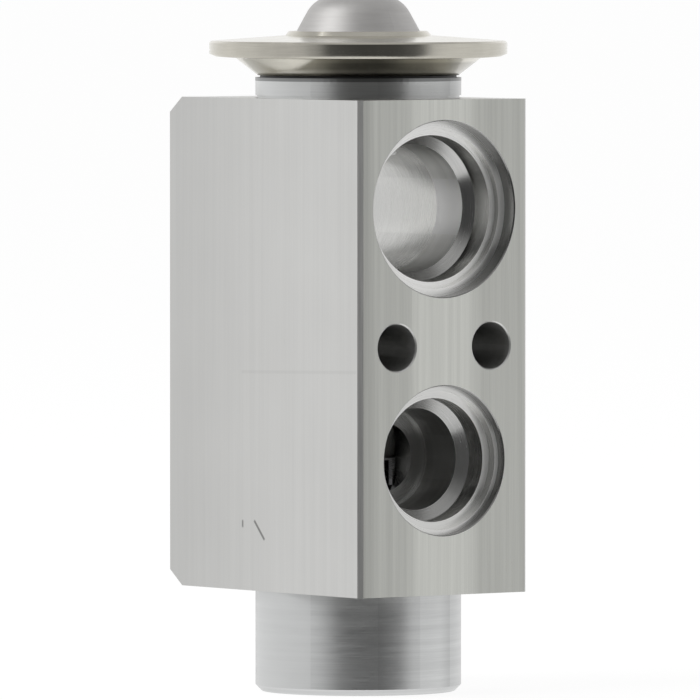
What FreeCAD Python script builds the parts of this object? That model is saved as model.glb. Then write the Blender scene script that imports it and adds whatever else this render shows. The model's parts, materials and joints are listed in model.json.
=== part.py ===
import FreeCAD, Part
import os
import re
import Sketcher

# Expansion valve of the block kind. Millimetres, +Z up. The origin is on the valve's own axis,
# in the plane of the boss's lower face. +X leaves the face with the two ports and the two bolt
# holes between them, and -X leaves the face on the evaporator's side.

doc = FreeCAD.newDocument("expansion_valve")

# Driving dimensions
SIZES = {
    # Block, with its collar above and its boss below
    "block_height": 63.0,
    "block_width": 26.8,
    "block_front": 18.3,
    "block_rear": 23.2,
    "block_edge_chamfer": 0.55,
    "rear_chamfer_across": 3.2,
    "rear_chamfer_up": 2.4,
    "boss_radius": 13.2,
    "boss_height": 13.0,
    "boss_chamfer": 0.8,
    "collar_radius": 13.2,
    "collar_height": 2.2,
    "collar_neck_radius": 12.95,
    "collar_neck_height": 0.35,
    "collar_chamfer": 0.2,
    # Bolt holes
    "bolt_line_height": 31.6,
    "bolt_spacing": 15.0,
    "bolt_hole_radius": 3.0,
    "bolt_hole_chamfer": 0.15,
    # Ports: a stepped mouth, a pocket for the tube's end and its ring, a lead-in and a bore
    "port_mouth_chamfer": 0.15,
    "upper_port_rise": 17.5,
    "upper_mouth_radius": 11.2,
    "upper_mouth_depth": 2.1,
    "upper_step_radius": 10.2,
    "upper_step_depth": 2.9,
    "upper_pocket_radius": 9.35,
    "upper_pocket_depth": 5.9,
    "upper_bore_radius": 8.15,
    "upper_lead_depth": 7.0,
    "suction_mouth_radius": 10.6,
    "suction_mouth_depth": 1.2,
    "suction_step_radius": 10.0,
    "suction_step_depth": 2.4,
    "suction_pocket_radius": 9.35,
    "suction_pocket_depth": 5.9,
    "suction_lead_depth": 7.0,
    "lower_port_drop": 14.5,
    "lower_mouth_radius": 9.5,
    "lower_mouth_depth": 1.2,
    "lower_step_radius": 8.9,
    "lower_step_depth": 2.4,
    "lower_pocket_radius": 7.9,
    "lower_pocket_depth": 5.2,
    "lower_bore_radius": 6.5,
    "lower_lead_depth": 6.2,
    "lower_bore_depth": 12.9,
    "inlet_radius": 4.4,
    "outlet_mouth_radius": 7.9,
    "outlet_mouth_depth": 1.2,
    "outlet_step_radius": 7.4,
    "outlet_step_depth": 2.4,
    "outlet_pocket_radius": 6.8,
    "outlet_pocket_depth": 5.2,
    "outlet_bore_radius": 5.5,
    "outlet_lead_depth": 6.2,
    "outlet_bore_depth": 13.5,
    "outlet_radius": 1.9,
    "outlet_overrun": 2.2,
    "outlet_roof_drop": 0.05,
    # Valve chamber and seat, on the valve's axis
    "chamber_radius": 4.8,
    "chamber_head": 0.35,
    "seat_radius": 3.2,
    "orifice_radius": 1.9,
    "orifice_land": 0.8,
    # Ball, pin and temperature sensing stem
    "ball_radius": 3.0,
    "ball_seat_gap": 0.03,
    "pin_radius": 1.2,
    "pin_tip_radius": 0.95,
    "pin_running_gap": 0.05,
    "pin_grip": 3.8,
    "pin_end_gap": 0.1,
    "stem_radius": 1.8,
    "stem_floor_gap": 1.3,
    "stem_end_chamfer": 0.3,
    "stem_way_radius": 5.0,
    # Ring seal, washer and split ring round the pin
    "seal_pocket_radius": 2.9,
    "seal_pocket_depth": 4.0,
    "retainer_thickness": 0.8,
    "retainer_gap": 0.15,
    "pin_damper_height": 1.1,
    "pin_damper_slit": 0.7,
    # Ball carrier and its crown of damping legs
    "carrier_radius": 3.3,
    "carrier_rim": 0.4,
    "carrier_flange_radius": 4.1,
    "carrier_flange_thickness": 1.2,
    "carrier_socket_floor": 1.1,
    "carrier_spigot_radius": 2.3,
    "carrier_spigot_length": 2.4,
    "carrier_spigot_chamfer": 0.4,
    "damper_thickness": 0.25,
    "damper_skirt": 3.2,
    "damper_wall_gap": 0.06,
    "damper_leg_count": 3,
    "damper_notch_width": 5.8,
    # Superheat spring
    "spring_wire_radius": 0.6,
    "spring_coil_radius": 3.3,
    "spring_turns": 7.25,
    # Adjusting screw, its ring seal and the washer that the spring stands on
    "screw_radius": 7.95,
    "screw_bore_gap": 0.05,
    "screw_recess": 1.2,
    "screw_length": 13.4,
    "screw_chamfer": 0.6,
    "screw_travel": 2.0,
    "screw_end_room": 1.2,
    "screw_cup_radius": 4.6,
    "screw_cup_depth": 7.6,
    "socket_across_flats": 6.0,
    "socket_depth": 4.0,
    "screw_seal_radius": 0.8,
    "screw_seal_groove_width": 2.1,
    "screw_seal_land": 1.4,
    "screw_bore_chamfer": 0.7,
    "washer_radius": 4.2,
    "washer_thickness": 1.2,
    "washer_pip_radius": 2.3,
    "washer_pip_height": 1.5,
    "washer_pip_chamfer": 0.4,
    "washer_gap": 0.02,
    # Power head: gasket, threaded stub, cup, diaphragm with its plate, cover and charge plug
    "gasket_thickness": 0.7,
    "gasket_outer_radius": 12.6,
    "gasket_hole_gap": 0.3,
    "stub_radius": 9.0,
    "stub_bore_radius": 6.0,
    "stub_length": 6.3,
    "stub_chamfer": 0.6,
    "stub_socket_gap": 0.05,
    "stub_socket_room": 0.6,
    "cup_base_radius": 12.9,
    "cup_thickness": 1.0,
    "cup_cone_radius": 15.7,
    "cup_cone_drop": 0.95,
    "cup_lip_inset": 0.8,
    "cup_lip_drop": 0.75,
    "cup_rim_drop": 0.4,
    "chamber_floor_radius": 12.6,
    "diaphragm_free_radius": 14.2,
    "diaphragm_floor_drop": 0.55,
    "rim_radius": 19.1,
    "valve_stroke": 0.9,
    "plate_stop_gap": 0.25,
    "plate_radius": 12.0,
    "plate_thickness": 0.98,
    "plate_hub_radius": 5.0,
    "plate_hub_length": 1.85,
    "plate_hub_cap": 0.65,
    "diaphragm_gap": 0.02,
    "diaphragm_thickness": 0.15,
    "diaphragm_wave": 0.35,
    "diaphragm_margin": 0.5,
    "diaphragm_rim_inset": 0.05,
    "cover_rim_height": 1.1,
    "cover_rim_chamfer": 0.25,
    "cover_slope_rise": 0.7,
    "cover_thickness": 0.8,
    "cover_step_radius": 8.9,
    "cover_step_rise": 0.55,
    "cover_step_run": 0.5,
    "dome_base_radius": 7.9,
    "dome_top_radius": 5.4,
    "dome_height": 4.6,
    "dome_round": 4.3,
    "plug_radius": 1.5,
    "plug_head_radius": 2.3,
    "plug_head_height": 0.5,
    "plug_head_round": 0.4,
    # How far features that join or cut run past each other
    "overrun": 1.0,
}

sheet = doc.addObject("Spreadsheet::Sheet", "Sizes")
for row, (alias, number) in enumerate(SIZES.items(), start=1):
    sheet.set(f"A{row}", alias.replace("_", " "))
    sheet.set(f"B{row}", str(number))
    sheet.setAlias(f"B{row}", alias)
doc.recompute()

# Heights above the boss's lower face, as formulas of the driving dimensions
BLOCK_BOTTOM = "boss_height"
BLOCK_TOP = "(boss_height + block_height)"
COLLAR_TOP = f"({BLOCK_TOP} + collar_height)"
BOLT_LINE = f"({BLOCK_BOTTOM} + bolt_line_height)"
UPPER_PORT = f"({BOLT_LINE} + upper_port_rise)"
LOWER_PORT = f"({BOLT_LINE} - lower_port_drop)"

CHAMBER_TOP = f"({LOWER_PORT} + inlet_radius + chamber_head)"
SEAT_TOP = f"({CHAMBER_TOP} + seat_radius - orifice_radius)"
OUTLET_LINE = f"({SEAT_TOP} + orifice_land + outlet_radius)"
OUTLET_PORT = f"({OUTLET_LINE} + outlet_radius + outlet_roof_drop - outlet_bore_radius)"

# The seat is a 45 degree cone, whose point is above it on the axis
BALL_CENTRE = f"({SEAT_TOP} + orifice_radius - (ball_radius + ball_seat_gap) * sqrt(2))"
BALL_TOP = f"({BALL_CENTRE} + ball_radius)"
CARRIER_SOCKET = f"({BALL_CENTRE} - ball_radius * sqrt(2))"
CARRIER_TOP = f"({CARRIER_SOCKET} + carrier_radius - carrier_rim)"
CARRIER_SEAT = f"({CARRIER_SOCKET} - carrier_socket_floor)"
FLANGE_TOP = f"({CARRIER_SEAT} + carrier_flange_thickness)"
SPIGOT_END = f"({CARRIER_SEAT} - carrier_spigot_length)"

PASSAGE_FLOOR = f"({UPPER_PORT} - upper_bore_radius)"
SEAL_FLOOR = f"({PASSAGE_FLOOR} - seal_pocket_depth)"
SEAL_SECTION = "((seal_pocket_radius - pin_radius - pin_running_gap) / 2)"
RETAINER_FLOOR = f"({SEAL_FLOOR} + 2 * {SEAL_SECTION})"
PIN_DAMPER_FLOOR = f"({RETAINER_FLOOR} + retainer_thickness)"
STEM_BOTTOM = f"({UPPER_PORT} - sqrt(upper_bore_radius ^ 2 - stem_radius ^ 2) + stem_floor_gap)"
PIN_TOP = f"({STEM_BOTTOM} + pin_grip)"

SCREW_TOP = "(screw_recess + screw_length)"
SCREW_BORE_TOP = f"({SCREW_TOP} + screw_travel + screw_end_room)"
CUP_FLOOR = f"({SCREW_TOP} - screw_cup_depth)"
WASHER_FLOOR = f"({CUP_FLOOR} + washer_gap)"
WASHER_TOP = f"({WASHER_FLOOR} + washer_thickness)"
GROOVE_TOP = f"({SCREW_TOP} - screw_seal_land)"
GROOVE_FLOOR = f"({GROOVE_TOP} - screw_seal_groove_width)"
GROOVE_RADIUS = "(screw_radius - 2 * screw_seal_radius)"

HEAD_BASE = f"({COLLAR_TOP} + gasket_thickness)"
HEAD_FLOOR = f"({HEAD_BASE} + cup_thickness)"
STUB_END = f"({HEAD_BASE} - stub_length)"
SOCKET_FLOOR = f"({STUB_END} - stub_socket_room)"
PLATE_UNDERSIDE = f"({HEAD_FLOOR} + valve_stroke + plate_stop_gap)"
PLATE_TOP = f"({PLATE_UNDERSIDE} + plate_thickness)"
HUB_END = f"({PLATE_UNDERSIDE} - plate_hub_length)"
STEM_TOP = f"({PLATE_TOP} - plate_hub_cap)"
SEAM = f"({PLATE_TOP} + diaphragm_gap)"
COVER_SEAM = f"({SEAM} + diaphragm_thickness)"
RIM_TOP = f"({COVER_SEAM} + cover_rim_height)"
SLOPE_TOP = f"({RIM_TOP} + cover_slope_rise)"
STEP_TOP = f"({SLOPE_TOP} + cover_step_rise)"
DOME_TOP = f"({STEP_TOP} + dome_height)"


def bound(formula):
    """The formula with every size name turned into its cell in the sheet."""
    return re.sub(r"[a-z_]+", lambda word: f"Sizes.{word[0]}" if word[0] in SIZES else word[0], formula)


def value(formula):
    """What the formula comes to with the sizes in the sheet."""
    return float(sheet.evalExpression(bound(formula)))


def new_body(label):
    body = doc.addObject("PartDesign::Body", label)
    body.Label = label
    return body


def new_sketch(body, name, role, across="0", up="0", out="0"):
    """Sketch on one of the body's own planes, its origin moved by three formulas."""
    plane = next(item for item in body.Origin.OriginFeatures if item.Role == role)
    sketch = body.newObject("Sketcher::SketchObject", name)
    sketch.AttachmentSupport = [(plane, "")]
    sketch.MapMode = "FlatFace"
    for letter, formula in zip("xyz", (across, up, out)):
        if formula != "0":
            sketch.setExpression(f"AttachmentOffset.Base.{letter}", bound(formula))
    return sketch


def draw_outline(sketch, corners):
    """Closed outline of straight lines, each corner placed by two formulas."""
    spots = [FreeCAD.Vector(value(across), value(up), 0) for across, up in corners]
    first = sketch.GeometryCount
    count = len(spots)
    for index, spot in enumerate(spots):
        sketch.addGeometry(Part.LineSegment(spot, spots[(index + 1) % count]), False)
    for index in range(count):
        following = first + (index + 1) % count
        sketch.addConstraint(Sketcher.Constraint("Coincident", first + index, 2, following, 1))
    for index, corner in enumerate(corners):
        for kind, axis, formula in zip(("DistanceX", "DistanceY"), (-2, -1), corner):
            if formula == "0":
                sketch.addConstraint(Sketcher.Constraint("PointOnObject", first + index, 1, axis))
            else:
                rule = Sketcher.Constraint(kind, -1, 1, first + index, 1, value(formula))
                number = sketch.addConstraint(rule)
                sketch.setExpression(f"Constraints[{number}]", bound(formula))


def draw_circle(sketch, across, up, radius):
    spot = FreeCAD.Vector(value(across), value(up), 0)
    circle = sketch.addGeometry(Part.Circle(spot, FreeCAD.Vector(0, 0, 1), value(radius)), False)
    rules = (
        (Sketcher.Constraint("DistanceX", -1, 1, circle, 3, value(across)), across),
        (Sketcher.Constraint("DistanceY", -1, 1, circle, 3, value(up)), up),
        (Sketcher.Constraint("Radius", circle, value(radius)), radius),
    )
    for rule, formula in rules:
        number = sketch.addConstraint(rule)
        sketch.setExpression(f"Constraints[{number}]", bound(formula))


def turn(body, name, corners, cut=False):
    """Outline of (radius, height) corners, turned about the Z axis."""
    sketch = new_sketch(body, f"{name}_outline", "XZ_Plane")
    draw_outline(sketch, corners)
    feature = body.newObject("PartDesign::Groove" if cut else "PartDesign::Revolution", name)
    feature.Profile = sketch
    feature.ReferenceAxis = (sketch, ["V_Axis"])
    feature.Angle = 360.0
    sketch.Visibility = False
    return feature


def bore_along_x(body, name, height, corners):
    """Outline of (x, radius) corners, cut out about a line along X at the height."""
    sketch = new_sketch(body, f"{name}_outline", "XZ_Plane", up=height)
    draw_outline(sketch, corners)
    feature = body.newObject("PartDesign::Groove", name)
    feature.Profile = sketch
    feature.ReferenceAxis = (sketch, ["H_Axis"])
    feature.Angle = 360.0
    sketch.Visibility = False
    return feature


def circles_at(feature, radius, height=None, across=None):
    """Names of the feature's full circular edges of a radius, at a height or at an x."""
    names = []
    for number, edge in enumerate(feature.Shape.Edges, start=1):
        curve = edge.Curve
        if not isinstance(curve, Part.Circle) or abs(curve.Radius - radius) > 1e-4:
            continue
        if height is not None and abs(curve.Center.z - height) > 1e-4:
            continue
        if across is not None and min(abs(curve.Center.x - spot) for spot in across) > 1e-4:
            continue
        names.append(f"Edge{number}")
    return names


def dress(body, kind, name, base, edges, size):
    """Fillet or chamfer of the base's edges, its size given by a formula."""
    feature = body.newObject(f"PartDesign::{kind}", name)
    feature.Base = (base, edges)
    feature.setExpression("Radius" if kind == "Fillet" else "Size", bound(size))
    return feature


def port_corners(face, inward, port, bore, last):
    """Outline of a port's stepped mouth, pocket and lead-in, from its face in to its bore."""
    def at(depth):
        return f"{face} {inward} ({depth})"

    return [
        (at("0"), "0"),
        (at("0"), f"{port}_mouth_radius + port_mouth_chamfer"),
        (at("port_mouth_chamfer"), f"{port}_mouth_radius"),
        (at(f"{port}_mouth_depth"), f"{port}_mouth_radius"),
        (at(f"{port}_mouth_depth"), f"{port}_step_radius"),
        (at(f"{port}_step_depth"), f"{port}_step_radius"),
        (at(f"{port}_step_depth"), f"{port}_pocket_radius"),
        (at(f"{port}_pocket_depth"), f"{port}_pocket_radius"),
        (at(f"{port}_lead_depth"), bore),
    ] + last(at)


def make_valve_body():
    """Aluminium block with its collar and boss, and every passage cut through it."""
    body = new_body("valve_body")

    # Block from its side view, with the two slanted edges at the rear
    side = new_sketch(body, "block_side", "XZ_Plane")
    draw_outline(side, [
        ("block_front", BLOCK_BOTTOM),
        ("block_front", BLOCK_TOP),
        ("-block_rear + rear_chamfer_across", BLOCK_TOP),
        ("-block_rear", f"{BLOCK_TOP} - rear_chamfer_up"),
        ("-block_rear", f"{BLOCK_BOTTOM} + rear_chamfer_up"),
        ("-block_rear + rear_chamfer_across", BLOCK_BOTTOM),
    ])
    block = body.newObject("PartDesign::Pad", "block")
    block.Profile = side
    block.SideType = "Symmetric"
    block.setExpression("Length", bound("block_width"))
    side.Visibility = False
    doc.recompute()

    # Upright edges broken all round
    upright = []
    for number, edge in enumerate(block.Shape.Edges, start=1):
        ends = [vertex.Point for vertex in edge.Vertexes]
        if (ends[0] - ends[1]).cross(FreeCAD.Vector(0, 0, 1)).Length < 1e-6:
            upright.append(f"Edge{number}")
    dress(body, "Chamfer", "upright_edges", block, upright, "block_edge_chamfer")

    turn(body, "boss", [
        ("0", "0"),
        ("boss_radius - boss_chamfer", "0"),
        ("boss_radius", "boss_chamfer"),
        ("boss_radius", f"{BLOCK_BOTTOM} + overrun"),
        ("0", f"{BLOCK_BOTTOM} + overrun"),
    ])
    turn(body, "collar", [
        ("0", f"{BLOCK_TOP} - overrun"),
        ("collar_neck_radius", f"{BLOCK_TOP} - overrun"),
        ("collar_neck_radius", f"{BLOCK_TOP} + collar_neck_height"),
        ("collar_radius", f"{BLOCK_TOP} + collar_neck_height"),
        ("collar_radius", f"{COLLAR_TOP} - collar_chamfer"),
        ("collar_radius - collar_chamfer", COLLAR_TOP),
        ("0", COLLAR_TOP),
    ])

    # Everything that is bored along the valve's axis, from the boss up to the head's socket
    turn(body, "axis_bores", [
        ("0", "0"),
        ("screw_radius + screw_bore_gap + screw_bore_chamfer", "0"),
        ("screw_radius + screw_bore_gap", "screw_bore_chamfer"),
        ("screw_radius + screw_bore_gap", SCREW_BORE_TOP),
        ("chamber_radius", SCREW_BORE_TOP),
        ("chamber_radius", CHAMBER_TOP),
        ("seat_radius", CHAMBER_TOP),
        ("orifice_radius", SEAT_TOP),
        ("orifice_radius", OUTLET_LINE),
        ("pin_radius + pin_running_gap", OUTLET_LINE),
        ("pin_radius + pin_running_gap", SEAL_FLOOR),
        ("seal_pocket_radius", SEAL_FLOOR),
        ("seal_pocket_radius", UPPER_PORT),
        ("stem_way_radius", UPPER_PORT),
        ("stem_way_radius", SOCKET_FLOOR),
        ("stub_radius + stub_socket_gap", SOCKET_FLOOR),
        ("stub_radius + stub_socket_gap", COLLAR_TOP),
        ("0", COLLAR_TOP),
    ], cut=True)

    def passage_end(at):
        return [("0", "upper_bore_radius"), ("0", "0")]

    def inlet_end(at):
        return [
            (at("lower_bore_depth"), "lower_bore_radius"),
            (at("lower_bore_depth"), "inlet_radius"),
            ("0", "inlet_radius"),
            ("0", "0"),
        ]

    def outlet_end(at):
        return [(at("outlet_bore_depth"), "outlet_bore_radius"), (at("outlet_bore_depth"), "0")]

    bore_along_x(body, "front_upper_port", UPPER_PORT,
                 port_corners("block_front", "-", "upper", "upper_bore_radius", passage_end))
    bore_along_x(body, "rear_upper_port", UPPER_PORT,
                 port_corners("-block_rear", "+", "suction", "upper_bore_radius", passage_end))
    bore_along_x(body, "front_lower_port", LOWER_PORT,
                 port_corners("block_front", "-", "lower", "lower_bore_radius", inlet_end))
    bore_along_x(body, "rear_lower_port", OUTLET_PORT,
                 port_corners("-block_rear", "+", "outlet", "outlet_bore_radius", outlet_end))
    bore_along_x(body, "outlet_passage", OUTLET_LINE, [
        ("-block_rear + outlet_bore_depth - overrun", "0"),
        ("-block_rear + outlet_bore_depth - overrun", "outlet_radius"),
        ("outlet_overrun", "outlet_radius"),
        ("outlet_overrun", "0"),
    ])

    bolts = new_sketch(body, "bolt_circles", "YZ_Plane", out="block_front")
    for side_sign in ("", "-"):
        draw_circle(bolts, f"{side_sign}bolt_spacing / 2", BOLT_LINE, "bolt_hole_radius")
    holes = body.newObject("PartDesign::Pocket", "bolt_holes")
    holes.Profile = bolts
    holes.Type = "ThroughAll"
    bolts.Visibility = False
    doc.recompute()
    mouths = circles_at(holes, value("bolt_hole_radius"),
                        across=(value("block_front"), value("-block_rear")))
    dress(body, "Chamfer", "bolt_hole_mouths", holes, mouths, "bolt_hole_chamfer")
    return body


def make_head_gasket():
    body = new_body("head_gasket")
    turn(body, "ring", [
        ("stub_radius + gasket_hole_gap", COLLAR_TOP),
        ("gasket_outer_radius", COLLAR_TOP),
        ("gasket_outer_radius", HEAD_BASE),
        ("stub_radius + gasket_hole_gap", HEAD_BASE),
    ])
    return body


def make_head_stub():
    """Threaded tube under the head, which screws into the collar's socket."""
    body = new_body("head_stub")
    turn(body, "tube", [
        ("stub_bore_radius", STUB_END),
        ("stub_radius - stub_chamfer", STUB_END),
        ("stub_radius", f"{STUB_END} + stub_chamfer"),
        ("stub_radius", HEAD_FLOOR),
        ("stub_bore_radius", HEAD_FLOOR),
    ])
    return body


def make_head_cup():
    """Pressed lower half of the head: a floor, a cone and a flange with a turned-down lip."""
    body = new_body("head_cup")
    turn(body, "cup", [
        ("stub_radius", HEAD_BASE),
        ("cup_base_radius", HEAD_BASE),
        ("cup_cone_radius", f"{SEAM} - cup_cone_drop"),
        ("rim_radius - cup_lip_inset", f"{SEAM} - cup_lip_drop"),
        ("rim_radius", f"{SEAM} - cup_rim_drop"),
        ("rim_radius", SEAM),
        ("diaphragm_free_radius", SEAM),
        ("diaphragm_free_radius", f"{SEAM} - diaphragm_floor_drop"),
        ("chamber_floor_radius", HEAD_FLOOR),
        ("stub_radius", HEAD_FLOOR),
    ])
    return body


def make_head_cover():
    """Pressed upper half of the head, sloping up from its rim to a step and a dome."""
    body = new_body("head_cover")
    cover = turn(body, "shell", [
        ("diaphragm_free_radius", COVER_SEAM),
        ("rim_radius", COVER_SEAM),
        ("rim_radius", f"{RIM_TOP} - cover_rim_chamfer"),
        ("rim_radius - cover_rim_chamfer", RIM_TOP),
        ("cover_step_radius + cover_step_run", SLOPE_TOP),
        ("cover_step_radius", STEP_TOP),
        ("dome_base_radius", STEP_TOP),
        ("dome_top_radius", DOME_TOP),
        ("plug_radius", DOME_TOP),
        ("plug_radius", f"{DOME_TOP} - cover_thickness"),
        ("dome_top_radius - cover_thickness", f"{DOME_TOP} - cover_thickness"),
        ("dome_base_radius - cover_thickness", f"{STEP_TOP} - cover_thickness"),
        ("cover_step_radius - cover_thickness / 2", f"{STEP_TOP} - cover_thickness"),
        ("cover_step_radius", f"{SLOPE_TOP} - cover_thickness"),
        ("diaphragm_free_radius", f"{RIM_TOP} - cover_thickness"),
    ])
    doc.recompute()
    shoulder = circles_at(cover, value("dome_top_radius"), height=value(DOME_TOP))
    outside = dress(body, "Fillet", "dome_shoulder", cover, shoulder, "dome_round")
    doc.recompute()
    inner = circles_at(outside, value("dome_top_radius - cover_thickness"),
                       height=value(f"{DOME_TOP} - cover_thickness"))
    dress(body, "Fillet", "dome_inside", outside, inner, "dome_round - cover_thickness")
    return body


def make_charge_plug():
    body = new_body("charge_plug")
    plug = turn(body, "plug", [
        ("0", f"{DOME_TOP} - cover_thickness"),
        ("plug_radius", f"{DOME_TOP} - cover_thickness"),
        ("plug_radius", DOME_TOP),
        ("plug_head_radius", DOME_TOP),
        ("plug_head_radius", f"{DOME_TOP} + plug_head_height"),
        ("0", f"{DOME_TOP} + plug_head_height"),
    ])
    doc.recompute()
    rim = circles_at(plug, value("plug_head_radius"), height=value(f"{DOME_TOP} + plug_head_height"))
    dress(body, "Fillet", "plug_crown", plug, rim, "plug_head_round")
    return body


def make_diaphragm():
    """Thin disc clamped between the head's two halves, with one ring-shaped wave."""
    body = new_body("diaphragm")
    inner = "(plate_radius + diaphragm_margin)"
    outer = "(diaphragm_free_radius - diaphragm_margin / 2)"
    crest = f"(({inner} + {outer}) / 2)"
    turn(body, "disc", [
        ("0", SEAM),
        (inner, SEAM),
        (crest, f"{SEAM} + diaphragm_wave"),
        (outer, SEAM),
        ("rim_radius - diaphragm_rim_inset", SEAM),
        ("rim_radius - diaphragm_rim_inset", COVER_SEAM),
        (outer, COVER_SEAM),
        (crest, f"{COVER_SEAM} + diaphragm_wave"),
        (inner, COVER_SEAM),
        ("0", COVER_SEAM),
    ])
    return body


def make_diaphragm_plate():
    """Stop plate under the diaphragm, with the hub that takes the stem's upper end."""
    body = new_body("diaphragm_plate")
    turn(body, "plate", [
        ("stem_radius", HUB_END),
        ("plate_hub_radius", HUB_END),
        ("plate_hub_radius", PLATE_UNDERSIDE),
        ("plate_radius", PLATE_UNDERSIDE),
        ("plate_radius", PLATE_TOP),
        ("0", PLATE_TOP),
        ("0", STEM_TOP),
        ("stem_radius", STEM_TOP),
    ])
    return body


def make_sensing_stem():
    """Aluminium rod across the upper passage, bored below for the pin."""
    body = new_body("sensing_stem")
    turn(body, "rod", [
        ("pin_radius", STEM_BOTTOM),
        ("stem_radius - stem_end_chamfer", STEM_BOTTOM),
        ("stem_radius", f"{STEM_BOTTOM} + stem_end_chamfer"),
        ("stem_radius", STEM_TOP),
        ("0", STEM_TOP),
        ("0", f"{PIN_TOP} + pin_end_gap"),
        ("pin_radius", f"{PIN_TOP} + pin_end_gap"),
    ])
    return body


def make_push_pin():
    """Steel pin from the stem down through the orifice to the ball, thinner where gas passes."""
    body = new_body("push_pin")
    turn(body, "pin", [
        ("0", BALL_TOP),
        ("pin_tip_radius", BALL_TOP),
        ("pin_tip_radius", OUTLET_LINE),
        ("pin_radius", f"{OUTLET_LINE} + pin_radius - pin_tip_radius"),
        ("pin_radius", PIN_TOP),
        ("0", PIN_TOP),
    ])
    return body


def make_pin_seal():
    seal = doc.addObject("Part::Torus", "pin_seal")
    seal.Label = "pin_seal"
    seal.setExpression("Radius1", bound(f"pin_radius + pin_running_gap + {SEAL_SECTION}"))
    seal.setExpression("Radius2", bound(SEAL_SECTION))
    seal.setExpression("Placement.Base.z", bound(f"{SEAL_FLOOR} + {SEAL_SECTION}"))
    return seal


def make_seal_retainer():
    body = new_body("seal_retainer")
    turn(body, "washer", [
        ("pin_radius + retainer_gap", RETAINER_FLOOR),
        ("seal_pocket_radius", RETAINER_FLOOR),
        ("seal_pocket_radius", PIN_DAMPER_FLOOR),
        ("pin_radius + retainer_gap", PIN_DAMPER_FLOOR),
    ])
    return body


def make_pin_damper():
    """Split ring that sits in the pocket's mouth and steadies the pin."""
    body = new_body("pin_damper")
    turn(body, "ring", [
        ("pin_radius + pin_running_gap", PIN_DAMPER_FLOOR),
        ("seal_pocket_radius", PIN_DAMPER_FLOOR),
        ("seal_pocket_radius", f"{PIN_DAMPER_FLOOR} + pin_damper_height"),
        ("pin_radius + pin_running_gap", f"{PIN_DAMPER_FLOOR} + pin_damper_height"),
    ])
    slit_sketch = new_sketch(body, "slit_outline", "XY_Plane", out=f"{PIN_DAMPER_FLOOR} + pin_damper_height")
    draw_outline(slit_sketch, [
        ("0", "-pin_damper_slit / 2"),
        ("seal_pocket_radius + overrun", "-pin_damper_slit / 2"),
        ("seal_pocket_radius + overrun", "pin_damper_slit / 2"),
        ("0", "pin_damper_slit / 2"),
    ])
    slit = body.newObject("PartDesign::Pocket", "slit")
    slit.Profile = slit_sketch
    slit.setExpression("Length", bound("pin_damper_height + overrun"))
    slit_sketch.Visibility = False
    return body


def make_valve_ball():
    ball = doc.addObject("Part::Sphere", "valve_ball")
    ball.Label = "valve_ball"
    ball.setExpression("Radius", bound("ball_radius"))
    ball.setExpression("Placement.Base.z", bound(BALL_CENTRE))
    return ball


def make_ball_carrier():
    """Cup with a coned socket for the ball, a flange for the spring and a spigot inside it."""
    body = new_body("ball_carrier")
    turn(body, "carrier", [
        ("0", SPIGOT_END),
        ("carrier_spigot_radius - carrier_spigot_chamfer", SPIGOT_END),
        ("carrier_spigot_radius", f"{SPIGOT_END} + carrier_spigot_chamfer"),
        ("carrier_spigot_radius", CARRIER_SEAT),
        ("carrier_flange_radius", CARRIER_SEAT),
        ("carrier_flange_radius", FLANGE_TOP),
        ("carrier_radius", FLANGE_TOP),
        ("carrier_radius", CARRIER_TOP),
        ("carrier_radius - carrier_rim", CARRIER_TOP),
        ("0", CARRIER_SOCKET),
    ])
    return body


def make_damping_spring():
    """Crown on the carrier's flange, whose legs brush the chamber's wall."""
    body = new_body("damping_spring")
    skirt_outer = "(chamber_radius - damper_wall_gap)"
    skirt_inner = f"({skirt_outer} - damper_thickness)"
    crown_top = f"({FLANGE_TOP} + damper_thickness)"
    turn(body, "crown", [
        ("carrier_radius", FLANGE_TOP),
        (skirt_inner, FLANGE_TOP),
        (skirt_inner, f"{FLANGE_TOP} - damper_skirt"),
        (skirt_outer, f"{FLANGE_TOP} - damper_skirt"),
        (skirt_outer, crown_top),
        ("carrier_radius", crown_top),
    ])
    notch_sketch = new_sketch(body, "notch_outline", "XY_Plane", out=f"{crown_top} + overrun")
    draw_outline(notch_sketch, [
        ("carrier_flange_radius", "-damper_notch_width / 2"),
        ("chamber_radius + overrun", "-damper_notch_width / 2"),
        ("chamber_radius + overrun", "damper_notch_width / 2"),
        ("carrier_flange_radius", "damper_notch_width / 2"),
    ])
    notch = body.newObject("PartDesign::Pocket", "notch")
    notch.Profile = notch_sketch
    notch.setExpression("Length", bound("damper_skirt + damper_thickness + 2 * overrun"))
    notch_sketch.Visibility = False
    doc.recompute()
    notches = body.newObject("PartDesign::PolarPattern", "notches")
    notches.Originals = [notch]
    notches.Axis = (notch_sketch, ["N_Axis"])
    notches.Angle = 360.0
    notches.setExpression("Occurrences", bound("damper_leg_count"))
    body.Tip = notches
    return body


def make_superheat_spring():
    """Round wire coiled from the washer in the screw up to the carrier's flange."""
    body = new_body("superheat_spring")
    wire = new_sketch(body, "wire_section", "XZ_Plane")
    draw_circle(wire, "spring_coil_radius", f"{WASHER_TOP} + spring_wire_radius", "spring_wire_radius")
    coil = body.newObject("PartDesign::AdditiveHelix", "coil")
    coil.Profile = wire
    coil.ReferenceAxis = (wire, ["V_Axis"])
    coil.Mode = "height-turns-angle"
    coil.setExpression("Height", bound(f"{CARRIER_SEAT} - {WASHER_TOP} - 2 * spring_wire_radius"))
    coil.setExpression("Turns", bound("spring_turns"))
    wire.Visibility = False
    return body


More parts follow.
